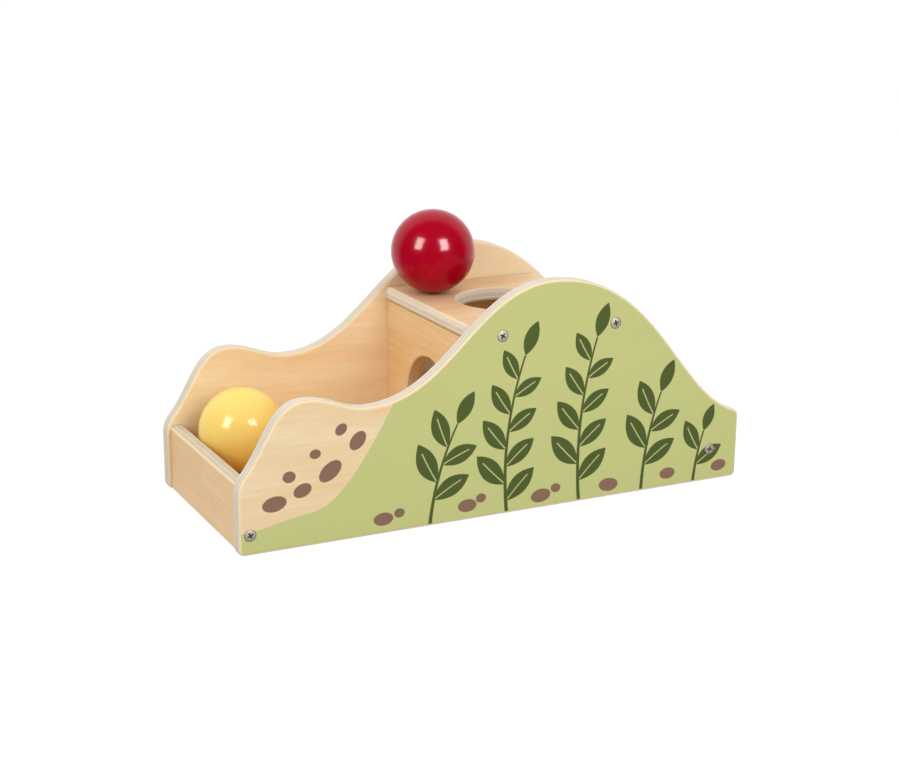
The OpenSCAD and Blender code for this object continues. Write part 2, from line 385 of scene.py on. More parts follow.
@dataclass(frozen=True)
class Veneer:
    """A birch veneer: its tones, and its figure with sizes in millimetres.

    A share is the weight of a strand or ring in the tone. painted_light is how much lighter the sheet grows
    along its grain toward the toy's rear, over the stretch that painted_light_over gives: painted light.
    """

    deep: Colour
    main: Colour
    light: Colour
    fleck: Colour = srgb(196, 152, 104)
    tone_stops: tuple[float, float, float] = (0.18, 0.5, 0.82)
    bands: Strands = Strands(width=17.0, length=119.0, layer=0.0, detail=3.0)
    band_share: float = 1.1
    streaks: Strands = Strands(width=2.6, length=41.6, layer=3.0, detail=3.0)
    streak_share: float = 0.55
    fibres: Strands = Strands(width=0.4, length=6.4, layer=5.0, detail=2.0)
    fibre_share: float = 0.3
    ring: float = 7.0
    ring_wander: float = 9.0
    ring_share: float = 0.05
    pores: Strands = Strands(width=0.22, length=2.4, layer=9.0, detail=1.0)
    pore_cut: Span = (0.66, 0.76)
    pore_tint: float = 0.35
    pore_sink: float = 0.8
    painted_light: float = 0.0
    painted_light_over: Span = (-90.0, 20.0)

    def figure(self, graph: Graph, along: Flow, across: Flow, seed: float) -> Figure:
        """Draws the grain of a rotary-cut veneer.

        Args:
            graph: The material's graph.
            along: Place along the grain.
            across: Place across the grain.
            seed: Sets one sheet of veneer apart from the next.

        Returns:
            The veneer's colour, tone and fibres.
        """
        bands = self.bands.draw(graph, along, across, seed)
        streaks = self.streaks.draw(graph, along, across, seed)
        fibres = self.fibres.draw(graph, along, across, seed)
        rings = ((across / self.ring + bands * self.ring_wander) * FULL_TURN).sine()
        tone = NOISE_MIDDLE + (bands - NOISE_MIDDLE) * self.band_share
        tone = tone + (streaks - NOISE_MIDDLE) * self.streak_share
        tone = tone + (fibres - NOISE_MIDDLE) * self.fibre_share + rings * self.ring_share
        # Painted light: the sheet grows lighter along its grain, toward the toy's rear.
        if self.painted_light:
            tone = tone + graph.ease(along, self.painted_light_over) * self.painted_light
        stops = tuple(zip(self.tone_stops, (self.deep, self.main, self.light)))
        wood = graph.node("ShaderNodeValToRGB", {"stops": stops}, {0: tone})
        pores = graph.ease(self.pores.draw(graph, along, across, seed), self.pore_cut)
        colour = graph.mix(pores * self.pore_tint, wood, self.fleck)
        return Figure(colour, tone, fibres - pores * self.pore_sink)


@dataclass(frozen=True)
class Sprig:
    """A printed stem that bends to the right, with leaves in turn on both sides and one at its tip.

    Sizes are in millimetres and angles in degrees. leaf is half a leaf's length, shrink is the share of
    the lowest leaf's size that each next one loses, and vein_end says where in a leaf its vein ends, from
    the root at -1 to the tip at 1.
    """

    foot: float
    lean: float
    radius: float
    leaves: int
    start: float
    spacing: float = 19.0
    leaf: float = 12.0
    leaf_half_width: float = 5.4
    shrink: float = 0.075
    leaf_turn: float = 46.0
    foot_depth: float = 4.0
    stem_foot: float = 1.1
    stem_tip: float = 0.5
    stem_end_share: float = 0.25
    vein: float = 0.3
    vein_end: float = 0.55
    tip_length_share: float = 0.8
    tip_width_share: float = 0.75

    def mask(self, ink: "LeafPrint", x: Flow, z: Flow) -> Flow:
        """Draws the sprig.

        Args:
            ink: The print that it belongs to.
            x: Place along the panel.
            z: Height on the panel.

        Returns:
            The mask of the stem and its leaves.
        """
        lean = math.radians(self.lean)
        travel = Vector((math.cos(lean), math.sin(lean)))
        outward = Vector((-math.sin(lean), math.cos(lean)))
        centre = Vector((self.foot, -self.foot_depth)) - outward * self.radius
        from_centre = x - centre.x, z - centre.y
        out = from_centre[0] * outward.x + from_centre[1] * outward.y
        on = from_centre[0] * travel.x + from_centre[1] * travel.y
        run = on.angle_over(out) * self.radius
        off = (out * out + on * on).root() - self.radius
        side = abs(off)
        length = self.start + self.spacing * (self.leaves + self.stem_end_share)
        taper = (self.stem_foot - self.stem_tip) / length
        stem = ink.inside(side - (self.stem_foot - run * taper)) & (run < length)
        return stem | self._leaves(ink, run, off) | self._tip_leaf(ink, run - length, side)

    def _leaves(self, ink: "LeafPrint", run: Flow, off: Flow) -> Flow:
        """Draws the leaves on the two sides, each in its own stretch of the stem.

        Args:
            ink: The print that they belong to.
            run: Place along the stem.
            off: Distance from the stem, below 0 on one side.

        Returns:
            The mask of the leaves, without their veins.
        """
        shifted = run - self.start - (off > 0.0) * (self.spacing / 2)
        cell = (shifted / self.spacing).floor()
        local = shifted - (cell + 0.5) * self.spacing
        size = 1 - cell * self.shrink
        side = abs(off)
        turn = math.radians(self.leaf_turn)
        from_root = local + self.leaf * math.cos(turn)
        u = (from_root * math.cos(turn) + side * math.sin(turn)) / (size * self.leaf) - 1
        v = abs(side * math.cos(turn) - from_root * math.sin(turn))
        blade = ink.inside(v - size * self.leaf_half_width * (1 - u * u))
        vein = ink.inside(v - self.vein) & (u < self.vein_end)
        counted = (cell > -0.5) & (cell < self.leaves - 0.5)
        return blade & (1 - vein) & counted

    def _tip_leaf(self, ink: "LeafPrint", run: Flow, side: Flow) -> Flow:
        """The leaf at the stem's tip, from its place past the tip and off the stem."""
        u = run / (self.leaf * self.tip_length_share) - 1
        return ink.inside(side - self.leaf_half_width * self.tip_width_share * (1 - u * u))


@dataclass(frozen=True)
class Pebble:
    """A printed oval spot: its place, length, width and turn, in millimetres and degrees."""

    x: float
    z: float
    length: float
    width: float
    turn: float = 0.0

    def mask(self, ink: "LeafPrint", x: Flow, z: Flow) -> Flow:
        """Draws the spot.

        Args:
            ink: The print that it belongs to.
            x: Place along the panel.
            z: Height on the panel.

        Returns:
            The mask of the spot.
        """
        turn = math.radians(self.turn)
        across, up = x - self.x, z - self.z
        u = (across * math.cos(turn) + up * math.sin(turn)) / (self.length / 2)
        v = (up * math.cos(turn) - across * math.sin(turn)) / (self.width / 2)
        return ink.inside(((u * u + v * v).root() - 1) * (self.width / 2))


@dataclass(frozen=True)
class Rise:
    """A soft rise of the printed hill: its height, and the stretch of the panel that it takes."""

    height: float
    over: Span


@dataclass(frozen=True)
class LeafPrint:
    """The print on the outer faces of the side panels: a green hill with leafy sprigs and pebbles.

    bleed is how far the ink's edge wanders, and ghost how much of the wood's tone shows through the ink.
    """

    hill: Colour = srgb(200, 202, 133)
    leaf: Colour = srgb(84, 98, 50)
    pebble: Colour = srgb(142, 109, 91)
    soft_edge: float = 0.25
    ink_depth: float = 0.07
    bleed: float = 0.2
    bleed_lumps_per_mm: float = 1.7
    ghost: float = 0.04
    ghost_base: float = 0.98
    hill_foot: float = 12.0
    hill_rises: tuple[Rise, ...] = (
        Rise(height=6.0, over=(-148.0, -105.0)),
        Rise(height=125.0, over=(-110.0, -6.0)),
    )
    sprigs: tuple[Sprig, ...] = (
        Sprig(foot=-44, lean=86, radius=150, leaves=2, start=17),
        Sprig(foot=2, lean=98, radius=190, leaves=4, start=10),
        Sprig(foot=46, lean=97, radius=230, leaves=4, start=15),
        Sprig(foot=85, lean=90, radius=170, leaves=2, start=18),
        Sprig(foot=119, lean=88, radius=120, leaves=1, start=13, spacing=17, leaf=10, leaf_half_width=4.6),
    )
    pebbles: tuple[Pebble, ...] = (
        Pebble(x=-129, z=25, length=13, width=8, turn=8),
        Pebble(x=-114, z=30, length=10, width=7, turn=20),
        Pebble(x=-99, z=38, length=14, width=8.5, turn=38),
        Pebble(x=-121, z=38, length=7, width=6),
        Pebble(x=-84, z=52, length=11, width=7.5, turn=50),
        Pebble(x=-107, z=48, length=6, width=5),
        Pebble(x=-93, z=59, length=7, width=5.5, turn=40),
        Pebble(x=-70, z=8, length=11, width=7),
        Pebble(x=-61, z=10, length=6, width=5),
        Pebble(x=-22, z=8, length=11, width=7),
        Pebble(x=-14, z=11, length=6, width=5),
        Pebble(x=22, z=7, length=12, width=7.5, turn=5),
        Pebble(x=31, z=10, length=6, width=5, turn=-10),
        Pebble(x=64, z=7, length=12, width=7.5, turn=-4),
        Pebble(x=102, z=8, length=10, width=6.5),
        Pebble(x=136, z=8, length=10, width=6.5, turn=6),
    )

    def inside(self, distance: Flow) -> Flow:
        """The mask of an area from the distance outside its edge, with the ink's soft edge."""
        return (0.5 - distance / self.soft_edge).clamped()

    def over(self, graph: Graph, board: BoardAxes, bare: Figure) -> tuple[Flow, Flow]:
        """Prints on a veneer.

        Args:
            graph: The material's graph.
            board: The place in the panel, with x along the grain and z across it.
            bare: The veneer under the print.

        Returns:
            The printed colour, and the mask of the ink.
        """
        x, z = board.along, board.across
        lumps = graph.point(x * self.bleed_lumps_per_mm, z * self.bleed_lumps_per_mm, 0.0)
        bleed = graph.noise(lumps, detail=1.0) * self.bleed
        skyline = self.hill_foot
        for rise in self.hill_rises:
            skyline = skyline + graph.ease(x, rise.over) * rise.height
        hill = self.inside(z - skyline + bleed)
        leaves = self._joined(self.sprigs, x + bleed, z)
        pebbles = self._joined(self.pebbles, x + bleed, z)
        face = board.depth < self.ink_depth
        tone = self.ghost_base + bare.tone * self.ghost
        shade = graph.node("ShaderNodeCombineColor", None, {0: tone, 1: tone, 2: tone})
        colour = bare.colour
        for mask, tint in ((hill, self.hill), (leaves, self.leaf), (pebbles, self.pebble)):
            ink = graph.mix(1.0, tint, shade, "MULTIPLY")
            colour = graph.mix(mask & face, colour, ink)
        return colour, (hill | leaves | pebbles) & face

    def _joined(self, motifs: Sequence[Union[Sprig, Pebble]], x: Flow, z: Flow) -> Flow:
        """The joined mask of several motifs."""
        return reduce(operator.or_, (motif.mask(self, x, z) for motif in motifs))


@dataclass(frozen=True)
class Lumps:
    """Noise inside a board, in lumps to the millimetre in its plane and through its depth."""

    in_plane: float
    in_depth: float
    detail: float

    def draw(self, graph: Graph, board: BoardAxes) -> Flow:
        """Draws the lumps at a place in the board."""
        along, across = board.along * self.in_plane, board.across * self.in_plane
        return graph.noise(graph.point(along, across, board.depth * self.in_depth), self.detail)


@dataclass(frozen=True)
class CutEdge:
    """Plywood's layers where an edge is cut: long and cross layers in turn, and the glue between them.

    layer_shares gives the depths, as shares of the thickness, at which layers meet in each half.
    """

    long_deep: Colour = srgb(224, 214, 196)
    long_light: Colour = srgb(234, 226, 210)
    cross_deep: Colour = srgb(203, 192, 173)
    cross_light: Colour = srgb(217, 207, 190)
    speckle: Colour = srgb(184, 170, 147)
    glue: Colour = srgb(160, 143, 122)
    glue_line: float = 0.09
    glue_share: float = 0.4
    layer_shares: tuple[float, float, float] = (0.11, 0.27, 0.37)
    streaks: Lumps = Lumps(in_plane=0.16, in_depth=3.2, detail=3.0)
    streak_cut: Span = (0.3, 0.7)
    pores: Lumps = Lumps(in_plane=2.2, in_depth=5.0, detail=1.0)
    pore_cut: Span = (0.56, 0.7)
    pore_share: float = 0.7

    def layers(self, graph: Graph, board: BoardAxes, from_face: Flow, thickness: float) -> Flow:
        """Colours the inner layers.

        Args:
            graph: The material's graph.
            board: The place in the board.
            from_face: Depth under the nearer face.
            thickness: The board's thickness.

        Returns:
            The colour of the layers, with their glue lines.
        """
        tone = graph.ease(self.streaks.draw(graph, board), self.streak_cut)
        pores = graph.ease(self.pores.draw(graph, board), self.pore_cut)
        long_ply = graph.mix(tone, self.long_deep, self.long_light)
        cross_ply = graph.mix(tone, self.cross_deep, self.cross_light)
        cross_ply = graph.mix(pores * self.pore_share, cross_ply, self.speckle)
        first, second, third = (share * thickness for share in self.layer_shares)
        colour = graph.mix((from_face > second) & (from_face < third), cross_ply, long_ply)
        for depth in (first, second, third):
            line = abs(from_face - depth) < self.glue_line
            colour = graph.mix(line * self.glue_share, colour, self.glue)
        return colour


@dataclass(frozen=True)
class PlyFinish:
    """Lacquered birch plywood: veneer on both faces, layers on cut edges, pale sanded rounding, painted
    joint shadow.
    """

    veneer: Veneer
    thickness: float
    edge: CutEdge = CutEdge()
    sanded: Colour = srgb(234, 217, 183)
    sanded_over: Span = (0.04, 0.3)
    sanded_share: float = 0.8
    # Painted shadow line in the joints, where a board's ends butt against the panels: its colour, width in
    # millimetres and share.
    joint: Colour = srgb(112, 70, 36)
    joint_shadow_width: float = 0.45
    joint_shadow_share: float = 0.45
    face_roughness: float = 0.44
    fibre_roughness: float = 0.12
    edge_roughness: float = 0.62
    ink_roughness: float = 0.38
    fibre_depth: float = 0.03
    shine: float = 0.15

    def material(
        self,
        name: str,
        lay: Lay,
        seed: float,
        leaf_print: Optional[LeafPrint] = None,
        ends: Optional[float] = None,
    ) -> bpy.types.Material:
        """Makes the material of one board.

        Args:
            name: The material's name.
            lay: How the board lies.
            seed: Sets its veneer apart.
            leaf_print: The print on its face, if any.
            ends: Distance from the toy's middle to the board's ends, if they butt against the panels, where
                a shadow line is painted.

        Returns:
            The material.
        """
        graph = Graph.of_material(name)
        board = lay.axes(graph)
        figure = self.veneer.figure(graph, board.along, board.across, seed)
        face, ink = figure.colour, None
        if leaf_print:
            face, ink = leaf_print.over(graph, board, figure)
        from_face = board.depth.least(self.thickness - board.depth)
        face = graph.mix(graph.ease(from_face, self.sanded_over) * self.sanded_share, face, self.sanded)
        core = from_face > self.edge.layer_shares[0] * self.thickness
        colour = graph.mix(core, face, self.edge.layers(graph, board, from_face, self.thickness))
        # Painted shadow in the joint where the board's ends butt against the panels.
        if ends:
            colour = graph.mix(self._painted_joint_shadow(graph, ends) * self.joint_shadow_share, colour, self.joint)
        roughness = self.face_roughness + (NOISE_MIDDLE - figure.fibre) * self.fibre_roughness
        if ink:
            roughness = roughness + ink * (self.ink_roughness - self.face_roughness)
        roughness = roughness + core * (self.edge_roughness - self.face_roughness)
        return graph.coat({
            "Base Color": colour,
            "Roughness": roughness,
            "Normal": graph.relief(figure.fibre, self.fibre_depth),
            "Specular IOR Level": self.shine,
        })

    def _painted_joint_shadow(self, graph: Graph, ends: float) -> Flow:
        """The mask of the painted shadow line along which a board's ends butt against the panels."""
        _, y, _ = graph.parts(graph.place())
        return graph.ease(abs(y), (ends - self.joint_shadow_width, ends))


@dataclass(frozen=True)
class LacquerFinish:
    """Gloss lacquer on a turned wooden ball: faint clouds, orange peel and the grain under it."""

    colour: Colour
    deep: Colour
    roughness: float
    shine: float
    cloud: float = 13.0
    cloud_cut: Span = (0.35, 0.75)
    cloud_share: float = 0.6
    cloud_roughness: float = 0.04
    peel: float = 2.4
    peel_share: float = 0.7
    grain_length: float = 18.0
    grain_width: float = 0.9
    grain_share: float = 0.3
    relief_depth: float = 0.012

    def material(self, name: str) -> bpy.types.Material:
        """Makes the lacquer's material.

        Args:
            name: The material's name.

        Returns:
            The material.
        """
        graph = Graph.of_material(name)
        x, y, z = graph.parts(graph.place())
        clouds = graph.noise(graph.point(x / self.cloud, y / self.cloud, z / self.cloud))
        peel = graph.noise(graph.point(x / self.peel, y / self.peel, z / self.peel), detail=1.0)
        grain = graph.noise(graph.point(x / self.grain_length, y / self.grain_width, z / self.grain_width))
        height = peel * self.peel_share + grain * self.grain_share
        cloudy = graph.ease(clouds, self.cloud_cut) * self.cloud_share
        return graph.coat({
            "Base Color": graph.mix(cloudy, self.colour, self.deep),
            "Roughness": self.roughness + clouds * self.cloud_roughness,
            "Normal": graph.relief(height, self.relief_depth),
            "Specular IOR Level": self.shine,
        })


@dataclass(frozen=True)
class NickelFinish:
    """Nickel-plated steel, turned round each screw's own axis, with painted shadow round each head and
    painted shade with some oxide down in its cross.
    """

    plate: Colour = srgb(194, 185, 170)
    dull: Colour = srgb(150, 139, 124)
    # Painted shade, with some oxide, down in each cross, and the colour of the painted shadow round each
    # head.
    recess: Colour = srgb(44, 36, 28)
    recess_depth: float = 0.35
    recess_shade_share: float = 0.9
    recess_roughness: float = 0.25
    # Width and share of the painted shadow round each head, where it sits in its countersink.
    shadow_ring: float = 0.6
    shadow_ring_share: float = 0.8
    smudge_lumps_per_mm: float = 0.8
    smudge_cut: Span = (0.4, 0.75)
    smudge_share: float = 0.6
    smudge_roughness: float = 0.2
    ring: float = 0.24
    ring_share: float = 0.5
    relief_depth: float = 0.006
    roughness: float = 0.38
    plating: float = 0.6

    def material(self, name: str, axes: Sequence[Vector], head: float, face: float) -> bpy.types.Material:
        """Makes the plating's material.

        Args:
            name: The material's name.
            axes: Places of the screws' axes, as x and z in millimetres.
            head: Radius of the screws' heads, in millimetres.
            face: Distance of the panels' outer faces from the toy's middle, in millimetres.

        Returns:
            The material.
        """
        graph = Graph.of_material(name)
        x, y, z = graph.parts(graph.place())
        radius = reduce(Flow.least, (self._from_axis(x, z, axis) for axis in axes))
        rings = (radius * (FULL_TURN / self.ring)).sine()
        rate = self.smudge_lumps_per_mm
        smudge = graph.noise(graph.point(x * rate, y * rate, z * rate), detail=3.0)
        # Painted shade, with some oxide, down in each screw's cross.
        deep = graph.ease(face - abs(y), (0.0, self.recess_depth))
        # Painted shadow round each head, where it sits in its countersink.
        shadow_ring = graph.ease(radius, (head - self.shadow_ring, head))
        colour = graph.mix(graph.ease(smudge, self.smudge_cut) * self.smudge_share, self.plate, self.dull)
        colour = graph.mix(shadow_ring * self.shadow_ring_share, colour, self.recess)
        return graph.coat({
            "Base Color": graph.mix(deep * self.recess_shade_share, colour, self.recess),
            "Metallic": self.plating,
            "Roughness": self.roughness + smudge * self.smudge_roughness + deep * self.recess_roughness,
            "Normal": graph.relief(rings * self.ring_share + smudge, self.relief_depth),
        })

    @staticmethod
    def _from_axis(x: Flow, z: Flow, axis: Vector) -> Flow:
        """Distance from one screw's axis."""
        across, up = x - axis.x, z - axis.y
        return (across * across + up * up).root()


@dataclass(frozen=True)
class BeechFinish:
    """Plain beech of the hidden dowels, with short flecks, whose noise is in lumps to the millimetre."""

    wood: Colour = srgb(214, 170, 124)
    fleck: Colour = srgb(168, 116, 76)
    along_grain: float = 0.6
    across_grain: float = 3.0
    fleck_cut: Span = (0.5, 0.72)
    fleck_share: float = 0.6
    fleck_depth: float = 0.03
    fleck_roughness: float = 0.1
    roughness: float = 0.6

    def material(self, name: str) -> bpy.types.Material:
        """Makes the wood's material.

        Args:
            name: The material's name.

        Returns:
            The material.
        """
        graph = Graph.of_material(name)
        x, y, z = graph.parts(graph.place())
        lumps = graph.point(x * self.along_grain, y * self.across_grain, z * self.along_grain)
        flecks = graph.ease(graph.noise(lumps), self.fleck_cut)
        return graph.coat({
            "Base Color": graph.mix(flecks * self.fleck_share, self.wood, self.fleck),
            "Roughness": self.roughness + flecks * self.fleck_roughness,
            "Normal": graph.relief(flecks, self.fleck_depth),
        })


def dress(node: str, material: bpy.types.Material) -> None:
    """Gives a node of the frame its finish, and reports it.

    Args:
        node: The node's name.
        material: Its finish.
    """
    for slot in frame["nodes"][node].material_slots:
        slot.material = material
    log.info("%s: %s", node, material.name)


@dataclass
class SidePanels:
    """The two side panels, cut to one outline and printed on their outer faces.

    Edges over smooth_angle, in degrees, stay sharp, and so do faces whose normal lies across the toy by
    more than flat_face. Points closer than weld, in millimetres, are joined.
    """

    nodes: tuple[str, str] = ("left_side_panel", "right_side_panel")
    smooth_angle: float = 32.0
    flat_face: float = 0.999
    weld: float = 0.002
    # Painted light: this veneer grows lighter toward the toy's rear.
    veneer: Veneer = Veneer(srgb(236, 203, 156), srgb(241, 212, 168), srgb(245, 224, 187), painted_light=0.4)
    leaf_print: LeafPrint = LeafPrint()
    seed: float = 2.0
    thickness: float = field(init=False)
    outer_face: float = field(init=False)

    def __post_init__(self) -> None:
        """Takes the panels' thickness and place from the frame."""
        low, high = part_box(self.nodes[1])
        self.thickness = (high.y - low.y) / MM
        self.outer_face = high.y / MM

    def build(self) -> None:
        """Shades the panels' rounded outline smooth, and leaves their mesh as it is."""
        group = self._smoothing()
        for node in self.nodes:
            frame["nodes"][node].modifiers.new("smooth_outline", "NODES").node_group = group

    def _smoothing(self) -> bpy.types.NodeTree:
        """Makes the modifier's nodes, which join the facets and keep true corners and flat faces sharp.

        Returns:
            The node group.
        """
        tree = bpy.data.node_groups.new("smooth_outline", "GeometryNodeTree")
        for way in ("INPUT", "OUTPUT"):
            tree.interface.new_socket("Geometry", in_out=way, socket_type="NodeSocketGeometry")
        graph = Graph(tree)
        facets = {"Geometry": graph.node("NodeGroupInput"), "Distance": self.weld * MM}
        joined = graph.node("GeometryNodeMergeByDistance", None, facets)
        angle = graph.node("GeometryNodeInputMeshEdgeAngle")
        corner = graph.node("FunctionNodeCompare", None, {"A": angle, "B": math.radians(self.smooth_angle)})
        _, sideways, _ = graph.parts(graph.node("GeometryNodeInputNormal"))
        flat = graph.node("FunctionNodeCompare", None, {"A": abs(sideways), "B": self.flat_face})
        sharp = {"Mesh": joined, "Remove Custom": True, "Edge Sharpness": corner, "Face Sharpness": flat}
        smooth = graph.node("GeometryNodeSetMeshNormal", {"mode": "SHARPNESS"}, sharp)
        graph.node("NodeGroupOutput", None, {0: smooth})
        return tree

    def dress(self) -> None:
        """Gives both panels the printed plywood."""
        outer = Along.WIDTH.value * self.outer_face
        lay = Lay(outer, -Along.WIDTH.value, Along.LENGTH.value, mirrored=True)
        finish = PlyFinish(self.veneer, self.thickness)
        material = finish.material("printed_birch", lay, self.seed, self.leaf_print)
        for node in self.nodes:
            dress(node, material)


@dataclass(frozen=True)
class Sheet:
    """The plywood that one board is cut from. The seed sets its grain apart."""

    node: str
    veneer: Veneer
    edge: CutEdge
    seed: float


@dataclass
class Boards:
    """The boards between the panels: front, walls, tail, floors and top."""

    floors: tuple[str, str] = ("tray_floor", "box_ramp")
    top: str = "top_board"
    way_along_floors: str = "yellow_ball_roll"
    # Painted sheen: the top board's veneer grows lighter toward the toy's rear.
    rosy: Veneer = Veneer(
        srgb(216, 173, 128), srgb(225, 186, 142), srgb(231, 201, 164), painted_light=0.25, painted_light_over=(25.0, 95.0)
    )
    tan: Veneer = Veneer(srgb(217, 175, 124), srgb(225, 187, 136), srgb(232, 198, 151))
    warm: Veneer = Veneer(srgb(226, 184, 130), srgb(236, 199, 147), srgb(242, 211, 165))
    # Painted shade: deeper tones for the two floors, which darken the inside of the box and the tray and dim
    # the light they throw back.
    amber: Veneer = Veneer(srgb(217, 163, 100), srgb(227, 177, 114), srgb(234, 190, 132))
    honey: Veneer = Veneer(srgb(188, 124, 62), srgb(200, 138, 74), srgb(211, 153, 91))
    pale_edge: CutEdge = CutEdge(
        long_deep=srgb(240, 229, 209), long_light=srgb(248, 240, 222),
        cross_deep=srgb(218, 205, 181), cross_light=srgb(231, 220, 198), speckle=srgb(190, 174, 147),
    )
    dark_edge: CutEdge = CutEdge(
        long_deep=srgb(214, 199, 174), long_light=srgb(224, 211, 188),
        cross_deep=srgb(196, 180, 153), cross_light=srgb(208, 193, 167), speckle=srgb(176, 158, 130),
    )
    # Painted shade: warmer layers for the exit wall's cut edge, which shows only in the warm shade of the
    # exit hole.
    hole_shade_edge: CutEdge = CutEdge(
        long_deep=srgb(243, 215, 178), long_light=srgb(250, 226, 192),
        cross_deep=srgb(227, 198, 159), cross_light=srgb(238, 211, 173), speckle=srgb(202, 170, 131),
    )
    thickness: float = field(init=False)
    ends: float = field(init=False)

    def __post_init__(self) -> None:
        """Takes the boards' thickness and the place of their ends from the frame."""
        low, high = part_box("exit_wall")
        self.thickness = (high.x - low.x) / MM
        self.ends = high.y / MM

    def sheets(self) -> tuple[Sheet, ...]:
        """Lists the sheets that the boards are cut from.

        Returns:
            One sheet for each board.
        """
        return (
            Sheet("front_board", self.tan, self.dark_edge, seed=11.0),
            Sheet("exit_wall", self.warm, self.hole_shade_edge, seed=12.0),
            Sheet("rear_wall", self.warm, self.pale_edge, seed=13.0),
            Sheet("tail_board", self.warm, self.pale_edge, seed=14.0),
            # The two floors take the deeper veneers that paint shade inside the box and the tray.
            Sheet("tray_floor", self.amber, self.pale_edge, seed=31.0),
            Sheet("box_ramp", self.honey, self.pale_edge, seed=32.0),
            Sheet("top_board", self.rosy, self.pale_edge, seed=41.0),
        )

    def dress(self) -> None:
        """Gives each board its own sheet of plywood."""
        for sheet in self.sheets():
            finish = PlyFinish(sheet.veneer, self.thickness, sheet.edge)
            lay = self._lay(sheet.node)
            dress(sheet.node, finish.material(f"birch_{sheet.node}", lay, sheet.seed, ends=self.ends))

    def _lay(self, node: str) -> Lay:
        """How a board lies: upright with its grain level, sloping, or level with its grain lengthwise.

        Args:
            node: The board's node.

        Returns:
            The lay, from a floor's upper face, or from the lowest corner of another board.
        """
        low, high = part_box(node)
        if node in self.floors:
            slope = self._floor_slope()
            return Lay(high / MM, Vector((math.sin(slope), 0, -math.cos(slope))), Along.WIDTH.value)
        if node == self.top:
            return Lay(low / MM, Along.HEIGHT.value, Along.LENGTH.value)
        return Lay(low / MM, Along.LENGTH.value, Along.WIDTH.value)

    def _floor_slope(self) -> float:
        """The floors' slope in radians, from the way of the ball that rolls along them."""
        ways = {joint["name"]: Vector(joint["axis"]) for joint in frame["joints"]}
        return math.atan2(ways[self.way_along_floors].z, ways[self.way_along_floors].x)


@dataclass
class Balls:
    """The two lacquered balls, each on its own body."""

    red: LacquerFinish = LacquerFinish(srgb(168, 0, 33), srgb(158, 0, 27), roughness=0.14, shine=0.18)
    yellow: LacquerFinish = LacquerFinish(
        srgb(244, 211, 116), srgb(241, 205, 104), roughness=0.12, shine=0.11
    )

    def dress(self) -> None:
        """Gives each ball its lacquer."""
        dress("red_ball", self.red.material("red_gloss"))
        dress("yellow_ball", self.yellow.material("yellow_gloss"))


@dataclass
class Screws:
    """The eight cross-head screws that hold the panels to the boards."""

    sides: tuple[str, str] = ("left", "right")
    places: tuple[str, ...] = ("front", "deck_front", "deck_rear", "tail")
    finish: NickelFinish = NickelFinish()

    def dress(self, panel_face: float) -> None:
        """Plates the screws.

        Args:
            panel_face: Distance of the panels' outer faces from the toy's middle, in millimetres.
        """
        boxes = [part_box(f"{self.sides[0]}_{place}_screw") for place in self.places]
        axes = [((low + high) / (2 * MM)).xz for low, high in boxes]
        low, high = boxes[-1]
        head = (high.x - low.x) / (2 * MM)
        material = self.finish.material("nickel_plate", axes, head, panel_face)
        for side in self.sides:
            for place in self.places:
                dress(f"{side}_{place}_screw", material)


@dataclass
class Dowels:
    """The hidden dowels between the boards."""

    joints: tuple[str, ...] = ("front_floor", "exit_floor", "rear_floor", "exit_top", "rear_top")
    finish: BeechFinish = BeechFinish()

    def dress(self) -> None:
        """Gives the dowels their wood."""
        material = self.finish.material("beech_rod")
        for joint in self.joints:
            dress(f"{joint}_dowels", material)


class Surface(Enum):
    """The kinds of surface that a lamp can light."""

    MATT = "matt"
    GLOSS = "gloss"


@dataclass(frozen=True)
class Softbox:
    """A studio light: where it stands as seen by the camera, its size in metres and its powers in watts.

    Its lamp for gloss stands in front of its lamp for matt surfaces, by gloss_lead.
    """

    name: str
    right: float
    up: float
    back: float
    width: float
    height: float
    matt_power: float
    gloss_power: float
    distance: float = 1.3
    gloss_lead: float = 0.01


